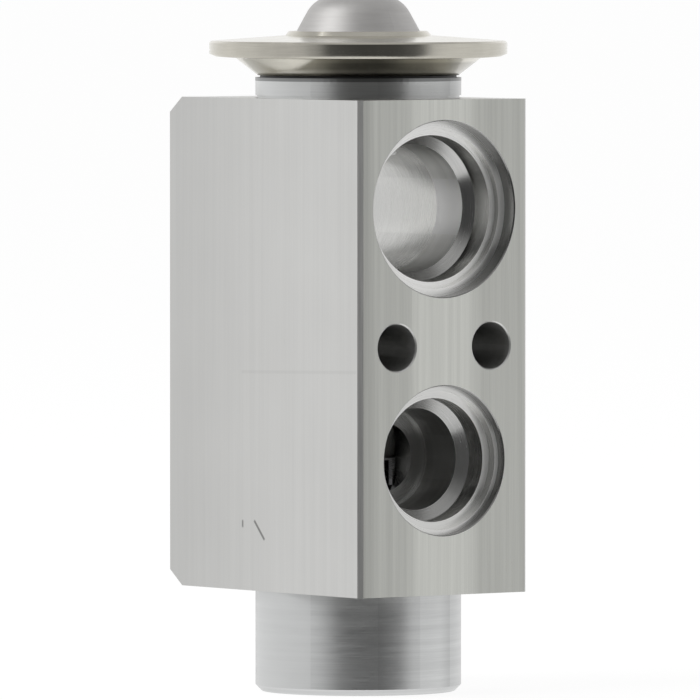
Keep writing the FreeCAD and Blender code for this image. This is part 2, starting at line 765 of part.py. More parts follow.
def make_spring_seat():
    """Washer at the bottom of the screw's cup, with a pip inside the spring."""
    body = new_body("spring_seat")
    pip_top = f"{WASHER_TOP} + washer_pip_height"
    turn(body, "washer", [
        ("0", WASHER_FLOOR),
        ("washer_radius", WASHER_FLOOR),
        ("washer_radius", WASHER_TOP),
        ("washer_pip_radius", WASHER_TOP),
        ("washer_pip_radius", f"{pip_top} - washer_pip_chamfer"),
        ("washer_pip_radius - washer_pip_chamfer", pip_top),
        ("0", pip_top),
    ])
    return body


def make_adjusting_screw():
    """Cup-shaped screw with a ring groove, the spring's cup above and a key socket below."""
    body = new_body("adjusting_screw")
    turn(body, "screw", [
        ("0", "screw_recess"),
        ("screw_radius - screw_chamfer", "screw_recess"),
        ("screw_radius", "screw_recess + screw_chamfer"),
        ("screw_radius", GROOVE_FLOOR),
        (GROOVE_RADIUS, GROOVE_FLOOR),
        (GROOVE_RADIUS, GROOVE_TOP),
        ("screw_radius", GROOVE_TOP),
        ("screw_radius", f"{SCREW_TOP} - screw_chamfer / 2"),
        ("screw_radius - screw_chamfer / 2", SCREW_TOP),
        ("screw_cup_radius", SCREW_TOP),
        ("screw_cup_radius", CUP_FLOOR),
        ("0", CUP_FLOOR),
    ])
    key = new_sketch(body, "key_outline", "XY_Plane", out="screw_recess")
    flat = "socket_across_flats / 2"
    point = "socket_across_flats / sqrt(3)"
    draw_outline(key, [
        (point, "0"),
        (f"{point} / 2", flat),
        (f"-{point} / 2", flat),
        (f"-{point}", "0"),
        (f"-{point} / 2", f"-{flat}"),
        (f"{point} / 2", f"-{flat}"),
    ])
    socket = body.newObject("PartDesign::Pocket", "key_socket")
    socket.Profile = key
    socket.Reversed = True
    socket.setExpression("Length", bound("socket_depth"))
    key.Visibility = False
    return body


def make_screw_seal():
    seal = doc.addObject("Part::Torus", "screw_seal")
    seal.Label = "screw_seal"
    seal.setExpression("Radius1", bound("screw_radius - screw_seal_radius"))
    seal.setExpression("Radius2", bound("screw_seal_radius"))
    seal.setExpression("Placement.Base.z", bound(f"({GROOVE_TOP} + {GROOVE_FLOOR}) / 2"))
    return seal


PIECES = [
    make_valve_body(),
    make_head_gasket(),
    make_head_stub(),
    make_head_cup(),
    make_head_cover(),
    make_charge_plug(),
    make_diaphragm(),
    make_diaphragm_plate(),
    make_sensing_stem(),
    make_push_pin(),
    make_pin_seal(),
    make_seal_retainer(),
    make_pin_damper(),
    make_valve_ball(),
    make_ball_carrier(),
    make_damping_spring(),
    make_superheat_spring(),
    make_spring_seat(),
    make_adjusting_screw(),
    make_screw_seal(),
]
doc.recompute()

for item in doc.Objects:
    if "Invalid" in item.State or "Error" in item.State:
        raise RuntimeError(f"{item.Label} did not build: {item.State}")
for piece in PIECES:
    if piece.Shape.isNull() or not piece.Shape.isValid() or not piece.Shape.Solids:
        raise RuntimeError(f"{piece.Label} is not a sound solid")

os.makedirs("parts", exist_ok=True)
for piece in PIECES:
    piece.Shape.exportStep(f"parts/{piece.Label}.step")
    print(f"{piece.Label}: {piece.Shape.Volume:.2f} mm3, {len(piece.Shape.Solids)} solid")
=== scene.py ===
import json
import math
from types import SimpleNamespace

import bmesh
import bpy
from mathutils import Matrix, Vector


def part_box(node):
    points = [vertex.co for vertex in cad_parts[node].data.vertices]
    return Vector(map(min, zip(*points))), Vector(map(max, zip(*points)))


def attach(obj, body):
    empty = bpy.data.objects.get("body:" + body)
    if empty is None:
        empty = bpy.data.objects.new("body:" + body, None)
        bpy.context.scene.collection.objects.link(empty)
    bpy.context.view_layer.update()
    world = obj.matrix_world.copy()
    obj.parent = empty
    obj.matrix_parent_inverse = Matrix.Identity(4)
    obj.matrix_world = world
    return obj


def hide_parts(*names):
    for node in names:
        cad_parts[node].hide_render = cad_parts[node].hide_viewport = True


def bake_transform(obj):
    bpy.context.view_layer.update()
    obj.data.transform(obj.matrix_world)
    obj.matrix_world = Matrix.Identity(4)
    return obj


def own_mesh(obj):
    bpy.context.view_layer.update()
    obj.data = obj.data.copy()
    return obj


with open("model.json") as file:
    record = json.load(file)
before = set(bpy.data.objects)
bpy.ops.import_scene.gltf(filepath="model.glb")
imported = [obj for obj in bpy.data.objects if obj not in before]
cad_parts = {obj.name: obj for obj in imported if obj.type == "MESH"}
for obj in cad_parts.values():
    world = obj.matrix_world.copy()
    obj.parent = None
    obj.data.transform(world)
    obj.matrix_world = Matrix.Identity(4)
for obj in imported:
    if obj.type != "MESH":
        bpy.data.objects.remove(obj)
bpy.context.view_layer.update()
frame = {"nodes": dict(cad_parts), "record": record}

# Everything is in metres, in the frame of the CAD model. A material measures in millimetres.
MM = 0.001
PER_MM = 1 / MM

# Places that the record and the nodes give, in millimetres
MOUNTS = {mount["name"]: mount for mount in frame["record"]["mounts"]}
BODY_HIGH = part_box("valve_body")[1] * PER_MM
FRONT = MOUNTS["front_face"]["pos_m"][0] * PER_MM
REAR = MOUNTS["rear_face"]["pos_m"][0] * PER_MM
SIDE = BODY_HIGH.y
UPPER_PORT = MOUNTS["front_upper_port"]["pos_m"][2] * PER_MM
LOWER_PORT = MOUNTS["front_lower_port"]["pos_m"][2] * PER_MM
OUTLET_PORT = MOUNTS["rear_lower_port"]["pos_m"][2] * PER_MM
BOLT_LINE = MOUNTS["clamp_bolts"]["pos_m"][2] * PER_MM
BOLT_OUT = MOUNTS["clamp_bolts"]["dims"]["spacing_x_mm"] / 2
BOLT_RADIUS = MOUNTS["clamp_bolts"]["dims"]["hole_r_mm"]

# Heights on the block
BLOCK_BOTTOM = 13.0
BLOCK_TOP = 76.0
BLOCK_MIDDLE = (BLOCK_TOP + BLOCK_BOTTOM) / 2
COLLAR_TOP = 78.2

# The ports: what their mouths and steps lie within, and how deep each stretch ends
UPPER_MOUTH = 11.7
LOWER_MOUTH = 10.0
UPPER_STEP = 10.7
LOWER_STEP = 9.2
EDGE_DEPTH = 0.4
MOUTH_DEPTH = 3.0
POCKET_DEPTH = 6.0
REAMED_DEPTH = 12.4
PORT_CLEARANCE = 1.0

# Heights and radii on the power head. A pair is where a change of look starts and where it ends.
CONE_FADE = (80.45, 80.85)
LIP_LOWER_TURN = (81.35, 81.75)
LIP_UPPER_TURN = (81.55, 82.10)
RIM_MIDDLE = 82.0
LIP_RADIUS = 17.2
DOME_FOOT = (7.8, 8.4)

# How far past an edge a region starts, so that the edge itself stays out of it
HAIR = 0.02


class Nodes:
    """A node tree, with short calls for the nodes that the looks share."""

    def __init__(self, tree):
        self.tree = tree
        tree.nodes.clear()

    def add(self, kind, **settings):
        node = self.tree.nodes.new(kind)
        for name, setting in settings.items():
            setattr(node, name, setting)
        return node

    def feed(self, socket, source):
        """Gives a socket a number, a colour, or another node's output."""
        if isinstance(source, bpy.types.NodeSocket):
            self.tree.links.new(source, socket)
        else:
            socket.default_value = source

    def maths(self, operation, *values):
        node = self.add("ShaderNodeMath", operation=operation)
        for socket, source in zip(node.inputs, values):
            self.feed(socket, source)
        return node.outputs[0]

    def chain(self, operation, first, *others):
        for other in others:
            first = self.maths(operation, first, other)
        return first

    def times(self, *values):
        return self.chain("MULTIPLY", *values)

    def total(self, *values):
        return self.chain("ADD", *values)

    def less(self, source, amount):
        return self.maths("SUBTRACT", source, amount)

    def absolute(self, source):
        return self.maths("ABSOLUTE", source)

    def over(self, source, limit):
        return self.maths("GREATER_THAN", source, limit)

    def under(self, source, limit):
        return self.maths("LESS_THAN", source, limit)

    def outside(self, region):
        """1 where the region is 0, and 0 where it is 1."""
        return self.less(1.0, region)

    def vector(self, operation, *values):
        node = self.add("ShaderNodeVectorMath", operation=operation)
        for socket, source in zip(node.inputs, values):
            self.feed(socket, source)
        return node.outputs["Value" if operation == "LENGTH" else "Vector"]

    def scaled(self, source, factor):
        node = self.add("ShaderNodeVectorMath", operation="SCALE")
        self.feed(node.inputs[0], source)
        self.feed(node.inputs["Scale"], factor)
        return node.outputs[0]

    def parts(self, source):
        node = self.add("ShaderNodeSeparateXYZ")
        self.feed(node.inputs[0], source)
        return tuple(node.outputs)

    def joined(self, x, y, z):
        node = self.add("ShaderNodeCombineXYZ")
        for socket, source in zip(node.inputs, (x, y, z)):
            self.feed(socket, source)
        return node.outputs[0]

    def spread(self, source, low, high, to_low=0.0, to_high=1.0, smooth=True):
        """Maps low to high onto to_low to to_high, and holds the ends."""
        node = self.add("ShaderNodeMapRange", interpolation_type="SMOOTHSTEP" if smooth else "LINEAR")
        for name, value in (("Value", source), ("From Min", low), ("From Max", high),
                            ("To Min", to_low), ("To Max", to_high)):
            self.feed(node.inputs[name], value)
        return node.outputs[0]

    def varied(self, grain, to_low, to_high, low=0.3):
        """Turns a noise, whose middle is 0.5, into a level between two others."""
        return self.spread(grain, low, 1 - low, to_low, to_high, False)

    def noise(self, source, scale, detail, roughness):
        node = self.add("ShaderNodeTexNoise")
        self.feed(node.inputs["Vector"], source)
        self.feed(node.inputs["Scale"], scale)
        self.feed(node.inputs["Detail"], detail)
        self.feed(node.inputs["Roughness"], roughness)
        return node.outputs["Fac"]

    def mixed(self, share, first, second, kind="FLOAT"):
        """The first where the share is 0, and the second where it is 1."""
        node = self.add("ShaderNodeMix", data_type=kind)
        ins_and_out = {"FLOAT": (2, 3, 0), "VECTOR": (4, 5, 1), "RGBA": (6, 7, 2)}[kind]
        self.feed(node.inputs[0], share)
        self.feed(node.inputs[ins_and_out[0]], first)
        self.feed(node.inputs[ins_and_out[1]], second)
        return node.outputs[ins_and_out[2]]


class Finish(Nodes):
    """A material, with the shaded point's place in millimetres and its normal."""

    SOCKETS = {"colour": "Base Color", "metallic": "Metallic", "roughness": "Roughness",
               "normal": "Normal", "anisotropic": "Anisotropic", "tangent": "Tangent"}

    def __init__(self, name):
        self.material = bpy.data.materials.new(name)
        self.material.use_nodes = True
        super().__init__(self.material.node_tree)
        self.shader = self.add("ShaderNodeBsdfPrincipled")
        output = self.add("ShaderNodeOutputMaterial")
        self.feed(output.inputs["Surface"], self.shader.outputs["BSDF"])
        where = self.add("ShaderNodeTexCoord")
        self.place = self.scaled(where.outputs["Object"], PER_MM)
        self.normal = where.outputs["Normal"]
        self.x, self.y, self.z = self.parts(self.place)

    def bump(self, height, distance, strength, base=None):
        node = self.add("ShaderNodeBump")
        self.feed(node.inputs["Height"], height)
        self.feed(node.inputs["Distance"], distance)
        self.feed(node.inputs["Strength"], strength)
        if base is not None:
            self.feed(node.inputs["Normal"], base)
        return node.outputs[0]

    def from_axis(self):
        """The distance from the valve's own axis."""
        return self.vector("LENGTH", self.joined(self.x, self.y, 0.0))

    def round_lines(self, stretch):
        """A place for noise that runs in lines round the valve's axis."""
        return self.joined(self.times(self.x, stretch), self.times(self.y, stretch),
                           self.total(self.z, self.from_axis()))

    def set(self, **sockets):
        for name, source in sockets.items():
            self.feed(self.shader.inputs[self.SOCKETS[name]], source)


# Marks of use on the broad side toward -Y: two ends as (x, z), half width, and how dark
MARKS = (
    ((-7.2, 40.95), (17.7, 41.6), 0.20, 0.05),
    ((-6.8, 20.9), (-6.8, 22.1), 0.16, 0.55),
    ((-4.4, 22.1), (-2.0, 19.5), 0.17, 0.60),
)
MARK_FADE = 0.3


def marks(look):
    """How much the marks darken the side, from where the shaded point lies."""
    darkening = 0.0
    for start, end, half_width, darkness in MARKS:
        length = math.dist(start, end)
        run_x, run_z = (end[0] - start[0]) / length, (end[1] - start[1]) / length
        from_x = look.less(look.x, start[0])
        from_z = look.less(look.z, start[1])
        along = look.total(look.times(from_x, run_x), look.times(from_z, run_z))
        aside = look.absolute(look.less(look.times(from_z, run_x), look.times(from_x, run_z)))
        from_middle = look.absolute(look.less(along, length / 2))
        here = look.times(look.spread(from_middle, length / 2 - MARK_FADE, length / 2, 1.0, 0.0),
                          look.spread(aside, half_width * 0.5, half_width * 1.5, 1.0, 0.0))
        darkening = look.total(darkening, look.times(here, darkness))
    return darkening


# The ports as their height, what their mouth lies within, and the side that they open to
PORTS = ((UPPER_PORT, UPPER_MOUTH, 1), (LOWER_PORT, LOWER_MOUTH, 1),
         (UPPER_PORT, UPPER_MOUTH, -1), (OUTLET_PORT, LOWER_MOUTH, -1))

# The share of a normal along an axis, from which a face counts as square to it
SQUARE = 0.9
FLAT_TOP = 0.7
# The share below which a wall counts as running along the axis
ALONG = 0.3
HOLE_WALL = 0.5
# Keeps the lean finite on the axis itself
LEAST_RADIUS = 0.1


def block_regions(look):
    """The block's regions, each 1 inside and 0 outside, and the distances that its looks follow."""
    x, y, z = look.x, look.y, look.z
    nx, ny, nz = look.parts(look.normal)
    on = SimpleNamespace()

    # Turned: the boss and the collar
    on.turned = look.over(look.absolute(look.less(z, BLOCK_MIDDLE)), BLOCK_TOP - BLOCK_MIDDLE + HAIR)
    on.boss = look.under(z, BLOCK_BOTTOM - HAIR)
    on.collar = look.over(z, BLOCK_TOP)

    # Bored: inside a port, whose height is kept for what depends on its axis
    bored = 0.0
    port_height = 0.0
    for height, mouth, side in PORTS:
        inside = look.under(look.vector("LENGTH", look.joined(0.0, y, look.less(z, height))), mouth)
        if side > 0:
            sunk, this_half = look.under(x, FRONT - HAIR), look.over(x, 0.0)
        else:
            sunk, this_half = look.over(x, REAR + HAIR), look.under(x, 0.0)
        here = look.times(inside, sunk, this_half)
        bored = look.maths("MAXIMUM", bored, here)
        port_height = look.mixed(here, port_height, height)
    within_sides = look.under(look.absolute(y), SIDE - PORT_CLEARANCE)
    on.bored = look.times(bored, within_sides, look.outside(on.turned))
    on.high_port = look.over(port_height, BOLT_LINE)
    on.up = look.less(z, port_height)
    on.off_axis = look.vector("LENGTH", look.joined(0.0, y, on.up))
    # 0 level with the port's axis, and 1 right above or below it
    on.lean = look.maths("DIVIDE", look.absolute(on.up), look.maths("MAXIMUM", on.off_axis, LEAST_RADIUS))

    # How deep, from the face in front or the face at the rear
    on.depth = look.maths("MINIMUM", look.less(FRONT, x), look.less(x, REAR))
    on.shallow = look.under(on.depth, MOUTH_DEPTH)
    on.past_pocket = look.over(on.depth, POCKET_DEPTH)

    # In a port: rings square to its axis, walls along it, and the cones between them
    facing = look.absolute(nx)
    on.ring = look.times(on.bored, look.over(facing, SQUARE))
    on.wall = look.times(on.bored, look.under(facing, ALONG))
    on.cone = look.times(on.bored, look.outside(look.total(on.ring, on.wall)))
    on.open_ring = look.times(on.ring, on.shallow)
    on.mouth_edge = look.times(on.cone, look.under(on.depth, EDGE_DEPTH))
    on.reamed = look.times(on.wall, on.past_pocket, look.under(on.depth, REAMED_DEPTH))
    on.step = look.under(on.off_axis, look.mixed(on.high_port, LOWER_STEP, UPPER_STEP))

    # On the bar: the port face, the broad sides, the broken upright edges and the drilled holes
    on.port_face = look.times(look.over(nx, SQUARE), look.outside(on.bored))
    on.broad_side = look.over(look.absolute(ny), SQUARE)
    on.marked_side = look.under(ny, -SQUARE)
    on.flat_top = look.over(look.absolute(nz), FLAT_TOP)
    on.broken = look.times(look.over(look.absolute(look.times(nx, ny)), ALONG),
                           look.outside(on.bored), look.outside(on.turned))
    from_hole = look.vector("LENGTH", look.joined(
        0.0, look.less(look.absolute(y), BOLT_OUT), look.less(z, BOLT_LINE)))
    on.drilled = look.times(look.under(from_hole, BOLT_RADIUS + HAIR), look.under(facing, HOLE_WALL))
    return on


# The way toward which painted shade darkens the collar and the cup's cone, as a unit vector's x and y,
# and how far that way from the axis the change starts and ends on each
PAINTED_SHADE_WAY = (0.6, 0.8)
COLLAR_SHADE_SPAN = (2.0, 7.0)
CONE_SHADE_SPAN = (-6.0, -2.5)


def toward_painted_shade(look):
    """The distance that way from the valve's own axis."""
    return look.total(look.times(look.x, PAINTED_SHADE_WAY[0]), look.times(look.y, PAINTED_SHADE_WAY[1]))


# The lean at which a port's look, its painted light and shade among it, starts to change from that level
# with its axis, and where it ends
OUTER_WALL_LEAN = (0.10, 0.50)
INNER_WALL_LEAN = (0.55, 1.00)
STEP_LEAN = (0.55, 0.85)
RING_LEAN = (0.30, 0.60)
# From where to where, along Y, the mouth's edge goes from bright to dark, as a painted highlight that
# gives way to painted shade
EDGE_SHADE = (-4.0, 1.0)


def port_painted_shading(look, on):
    """Painted light and shade on a port's walls, rings and cones, as factors on the colour. Most change
    above and below its axis.
    """
    lean, high_port = on.lean, on.high_port
    # Painted shade makes the mouth's wall the darkest, and the step's wall has painted light above and
    # below
    mouth_wall = look.mixed(on.shallow, 1.0, look.spread(lean, *OUTER_WALL_LEAN, 0.50, 0.70))
    outer_wall = look.times(look.spread(lean, *OUTER_WALL_LEAN, 1.0, 0.45), mouth_wall)
    outer_wall = look.mixed(on.step, outer_wall, look.spread(lean, *STEP_LEAN, 0.72, 1.30))
    inner_wall = look.mixed(high_port, 1.0, look.spread(lean, *INNER_WALL_LEAN, 1.0, 0.42))
    # The reamed stretch's wall is painted darker in the lower port and lighter in the upper one, as
    # painted shade and light
    reamed = look.mixed(high_port, 0.65, 1.25)
    inner_wall = look.times(inner_wall, look.mixed(on.reamed, 1.0, reamed))
    wall = look.mixed(on.past_pocket, outer_wall, inner_wall)

    # Painted light on the rings near the mouth, and painted shade on the deep ones
    open_ring = look.spread(lean, *RING_LEAN, 1.20, look.mixed(high_port, 1.16, 1.28))
    ring = look.mixed(on.shallow, 0.6, open_ring)

    # Painted light and shade on the cones, and on the mouth's edge a painted highlight toward -Y that
    # turns to painted shade toward +Y
    cone = look.mixed(high_port, look.spread(lean, *RING_LEAN, 1.25, 0.66), 0.77)
    cone = look.mixed(on.mouth_edge, cone, look.spread(look.y, *EDGE_SHADE, 1.20, 0.45))
    return wall, ring, cone


# How much slower the noise changes along a tool's lines than across them, and how deep they are
BAR_STRETCH = 0.012
TURNED_STRETCH = 0.02
STEEL_STRETCH = 0.03
BAR_LINE_DEPTH = 0.008
STEEL_LINE_DEPTH = 0.006
RUBBER_GRAIN_DEPTH = 0.02

# Noises, each as its scale, detail and roughness
FINE_LINES = (9.0, 3.0, 0.7)
BROAD_LINES = (1.3, 2.0, 0.6)
STEEL_LINES = (7.0, 3.0, 0.6)
BAR_CLOUD = (0.06, 2.0, 0.5)
STEEL_CLOUD = (0.15, 3.0, 0.6)
HEAD_CLOUD = (0.2, 3.0, 0.6)
RUBBER_GRAIN = (4.0, 4.0, 0.6)

# Colours of the block and the head
BAR_COLOUR = (0.76, 0.76, 0.745, 1.0)
PORT_FACE_COLOUR = (0.757, 0.765, 0.722, 1.0)
TURNED_COLOUR = (0.753, 0.762, 0.760, 1.0)
HEAD_COLOUR = (0.68, 0.655, 0.58, 1.0)
DOME_COLOUR = (0.61, 0.60, 0.59, 1.0)

# On the port face: the middle of its painted strip of light, where the strip fades to each side, and how
# wide the margin of painted shade beside the marked side is
STRIP_MIDDLE = -0.3
STRIP_FADE = (3.4, 6.4)
PAINTED_SHADE_MARGIN = 2.8
# How far forward a broad side's painted light grows, and down to what depth a drilled hole's painted
# shade grows
SIDE_LIGHT_END = 4.64
HOLE_SHADE_END = 1.6


def block_finish():
    """Drawn aluminium bar with upright lines, turned where it is round and bored in the ports."""
    look = Finish("block_aluminium")
    x, y, z = look.x, look.y, look.z
    on = block_regions(look)

    # Lines of the tool: upright on the bar, round the valve's axis, or round the port's axis
    upright = look.joined(x, y, look.times(z, BAR_STRETCH))
    about_x = look.joined(look.total(x, on.off_axis), look.times(y, TURNED_STRETCH),
                          look.times(z, TURNED_STRETCH))
    lines = look.mixed(on.turned, upright, look.round_lines(TURNED_STRETCH), "VECTOR")
    lines = look.mixed(on.bored, lines, about_x, "VECTOR")
    fine = look.noise(lines, *FINE_LINES)
    broad = look.noise(lines, *BROAD_LINES)
    cloud = look.noise(look.place, *BAR_CLOUD)

    # The way the lines run, and across them for the highlight
    run = look.mixed(on.flat_top, (0.0, 0.0, 1.0), (0.0, 1.0, 0.0), "VECTOR")
    run = look.mixed(on.turned, run, look.joined(look.times(y, -1.0), x, 0.0), "VECTOR")
    run = look.mixed(on.bored, run, look.joined(0.0, look.times(on.up, -1.0), y), "VECTOR")
    across = look.vector("NORMALIZE", look.vector("CROSS_PRODUCT", run, look.normal))

    # How light it is: the lines first, which are faint on the broad sides
    line_share = look.mixed(on.broad_side, 0.065, 0.02)
    level = look.total(look.times(look.varied(fine, -1.0, 1.0, 0.25), line_share),
                       look.times(look.varied(broad, -1.0, 1.0), line_share),
                       look.varied(cloud, -0.03, 0.03), 1.0)
    level = look.times(level, look.outside(look.times(on.marked_side, marks(look))))
    # Painted light: the port face is painted lightest along its middle, with painted shade in the margin
    # by the marked side, and the broad side is painted lighter toward the front
    from_strip = look.absolute(look.less(y, STRIP_MIDDLE))
    painted_strip_light = look.times(look.spread(from_strip, *STRIP_FADE, 1.10, 0.88),
                              look.spread(y, -SIDE, PAINTED_SHADE_MARGIN - SIDE, 0.74, 1.0))
    painted_side_light = look.spread(x, REAR, SIDE_LIGHT_END, 0.97, 1.08)
    # Painted shade: the collar is painted darker toward +X +Y
    collar = look.spread(toward_painted_shade(look), *COLLAR_SHADE_SPAN, 0.93, 0.72)
    wall, ring, cone = port_painted_shading(look, on)
    for region, own in (
            (on.port_face, painted_strip_light), (on.broad_side, painted_side_light),
            (on.turned, look.mixed(on.collar, 0.93, collar)),
            (on.wall, wall), (on.ring, ring), (on.cone, cone),
            # Painted shade in the drilled holes, darker deeper in
            (on.drilled, look.spread(on.depth, 0.0, HOLE_SHADE_END, 0.9, 0.75))):
        level = look.times(level, look.mixed(region, 1.0, own))
    # Painted shade: the part of the collar's edge that stands round the gasket is painted darker, as the
    # shade under the cup
    level = look.times(level, look.spread(z, COLLAR_TOP, COLLAR_TOP + HAIR / 2, 1.0, 0.42))

    tint = look.mixed(on.port_face, BAR_COLOUR, PORT_FACE_COLOUR, "RGBA")
    tint = look.mixed(on.turned, tint, TURNED_COLOUR, "RGBA")

    rough = 0.34
    for region, own in (
            (on.bored, 0.25), (on.boss, 0.42), (on.broken, 0.50), (on.drilled, 0.45),
            (on.ring, look.spread(on.lean, *RING_LEAN, 0.50, 0.30)), (on.cone, 0.24), (on.reamed, 0.40)):
        rough = look.mixed(region, rough, own)
    rough = look.times(rough, look.varied(fine, 0.85, 1.15))
    rough = look.total(rough, look.varied(cloud, -0.02, 0.02))

    # Less of a mirror in the mouth's rings and on its edge, where fine tool marks scatter the light
    metallic = look.mixed(on.open_ring, 1.0, look.spread(on.lean, *RING_LEAN, 0.45, 1.0))
    metallic = look.mixed(on.mouth_edge, metallic, look.spread(y, *EDGE_SHADE, 0.30, 1.0))

    lumps = look.total(look.times(fine, 0.6), look.times(broad, 0.4))
    look.set(colour=look.scaled(tint, level), metallic=metallic, roughness=rough,
             anisotropic=0.5, tangent=across,
             normal=look.bump(lumps, BAR_LINE_DEPTH * MM, look.mixed(on.broad_side, 0.6, 0.3)))
    return look.material


def steel_finish(name, colour, roughness, streak):
    """Pressed or turned steel with faint lines round the valve's axis."""
    look = Finish(name)
    fine = look.noise(look.round_lines(STEEL_STRETCH), *STEEL_LINES)
    cloud = look.noise(look.place, *STEEL_CLOUD)
    level = look.total(look.varied(fine, 1 - streak, 1 + streak), look.varied(cloud, -0.04, 0.04))
    rough = look.total(look.varied(fine, roughness * 0.85, roughness * 1.15),
                       look.varied(cloud, -0.03, 0.03))
    look.set(colour=look.scaled(colour, level), metallic=1.0, roughness=rough,
             normal=look.bump(fine, STEEL_LINE_DEPTH * MM, 0.5))
    return look.material


def head_finish():
    """Yellowish bright steel, duller and greyer on the drawn dome."""
    look = Finish("head_steel")
    x, y, z = look.x, look.y, look.z
    radius = look.from_axis()
    on_dome = look.spread(radius, *DOME_FOOT, 1.0, 0.0)
    under_rim = look.under(z, RIM_MIDDLE)
    fine = look.noise(look.round_lines(STEEL_STRETCH), *STEEL_LINES)
    cloud = look.noise(look.place, *HEAD_CLOUD)
    colour = look.mixed(on_dome, HEAD_COLOUR, DOME_COLOUR, "RGBA")
    level = look.total(look.varied(fine, 0.96, 1.04), look.varied(cloud, -0.05, 0.05))
    # Painted shade: the cup's cone is painted darker toward +X +Y
    on_cone = look.times(look.spread(z, *CONE_FADE, 1.0, 0.0), under_rim)
    painted_cone_shade = look.times(on_cone, look.spread(toward_painted_shade(look), *CONE_SHADE_SPAN, 0.0, 0.36))
    level = look.times(level, look.outside(painted_cone_shade))
    # The lip under the rim is rounded
    on_lip = look.times(look.over(radius, LIP_RADIUS), under_rim)
    slope = look.total(look.spread(z, *LIP_LOWER_TURN, -0.36, -0.22),
                       look.spread(z, *LIP_UPPER_TURN, 0.0, 0.20))
    rounded = look.vector("NORMALIZE", look.joined(x, y, look.times(radius, slope)))
    plain = look.add("ShaderNodeNewGeometry").outputs["Normal"]
    base = look.mixed(on_lip, plain, rounded, "VECTOR")
    rough = look.total(look.mixed(on_dome, 0.17, 0.52), look.varied(cloud, -0.03, 0.04))
    look.set(colour=look.scaled(colour, level), metallic=1.0, roughness=rough,
             normal=look.bump(fine, STEEL_LINE_DEPTH * MM, 0.5, base))
    return look.material


def rubber_finish():
    look = Finish("seal_rubber")
    grain = look.noise(look.place, *RUBBER_GRAIN)
    level = look.varied(grain, 0.8, 1.25)
    look.set(colour=look.scaled((0.034, 0.033, 0.034), level),
             roughness=look.spread(grain, 0.3, 0.7, 0.4, 0.55),
             normal=look.bump(grain, RUBBER_GRAIN_DEPTH * MM, 0.5))
    return look.material


def dress_nodes():
    """Gives every CAD node the finish of its material slot."""
    finishes = {
        "block_aluminium": block_finish(),
        "stem_aluminium": steel_finish("stem_aluminium", (0.76, 0.76, 0.75), 0.28, 0.04),
        "head_steel": head_finish(),
        "inner_steel": steel_finish("inner_steel", (0.60, 0.60, 0.59), 0.26, 0.05),
        "spring_steel": steel_finish("spring_steel", (0.42, 0.42, 0.43), 0.30, 0.05),
        "ball_steel": steel_finish("ball_steel", (0.80, 0.80, 0.80), 0.06, 0.0),
        "seal_rubber": rubber_finish(),
    }
    for row in frame["record"]["subparts"]:
        node = frame["nodes"][row["node"]]
        node.data.materials.clear()
        node.data.materials.append(finishes[row["material_slot"]])
    return finishes


def new_object(name, data):
    thing = bpy.data.objects.new(name, data)
    bpy.context.scene.collection.objects.link(thing)
    return thing


# The collar's top edge stands round the gasket
EDGE_INNER = 12.65
EDGE_OUTER = 13.21
EDGE_LOW = 77.98
EDGE_HIGH = 78.64
EDGE_SIDES = 96


def make_collar_edge(finish):
    profile = ((EDGE_OUTER, EDGE_LOW), (EDGE_OUTER, EDGE_HIGH),
               (EDGE_INNER, EDGE_HIGH), (EDGE_INNER, EDGE_LOW))
    count = len(profile)
    corners = []
    faces = []
    for side in range(EDGE_SIDES):
        turn = 2 * math.pi * side / EDGE_SIDES
        for radius, z in profile:
            corners.append((radius * math.cos(turn) * MM, radius * math.sin(turn) * MM, z * MM))
        here, there = side * count, (side + 1) % EDGE_SIDES * count
        for at in range(count):
            after = (at + 1) % count
            faces.append((here + at, there + at, there + after, here + after))
    mesh = bpy.data.meshes.new("collar_edge")
    mesh.from_pydata(corners, [], faces)
    mesh.materials.append(finish)
    ring = new_object("collar_edge", mesh)
    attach(ring, "housing")


def copy_of(node_name, name):
    """A mesh object with the node's own shape and finish, which replaces the node."""
    node = frame["nodes"][node_name]
    mesh = node.data.copy()
    mesh.name = name
    mesh.transform(node.matrix_world)
    piece = new_object(name, mesh)
    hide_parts(node_name)
    return piece


def cut_across(piece, height, keep_upper):
    """Keeps the part of a piece above or below a height, and closes the cut."""
    shape = bmesh.new()
    shape.from_mesh(piece.data)
    bmesh.ops.bisect_plane(shape, geom=shape.verts[:] + shape.edges[:] + shape.faces[:],
                           plane_co=(0.0, 0.0, height), plane_no=(0.0, 0.0, 1.0),
                           clear_inner=keep_upper, clear_outer=not keep_upper)
    rim = [edge for edge in shape.edges if edge.is_boundary]
    bmesh.ops.holes_fill(shape, edges=rim, sides=0)
    shape.to_mesh(piece.data)
    shape.free()


# Where the superheat spring's two parts meet, and the height of a closed coil at each end
SPRING_MEET = 20.0
SPRING_END_COIL = 1.2


def make_spring():
    """Cuts the spring where its two parts meet into a lower and an upper piece, each with its cut closed.
    """
    low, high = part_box("superheat_spring")
    meet = SPRING_MEET * MM
    end_coil = SPRING_END_COIL * MM
    for name, keep_upper, bodies, start, end in (
            ("spring_lower_coils", False, ("spring_rest", "housing"), low.z + end_coil, meet),
            ("spring_upper_coils", True, ("housing", "valve_train"), meet, high.z - end_coil)):
        coils = copy_of("superheat_spring", name)
        cut_across(coils, meet, keep_upper)
        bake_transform(coils)


def make_diaphragm():
    """A copy of the thin disc, carried by the housing, with a mesh of its own."""
    disc = copy_of("diaphragm", "flexing_diaphragm")
    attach(disc, "housing")
    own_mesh(disc)


# The photograph's camera
CAMERA_AZIMUTH = math.radians(53.3)
CAMERA_ELEVATION = math.radians(2.1)
CAMERA_DISTANCE = 1.632
CAMERA_LENS = 654.6
SENSOR = 36.0
AIM_HEIGHT = 0.04365
AIM_ASIDE = -0.00106
CLIP_END = 100.0


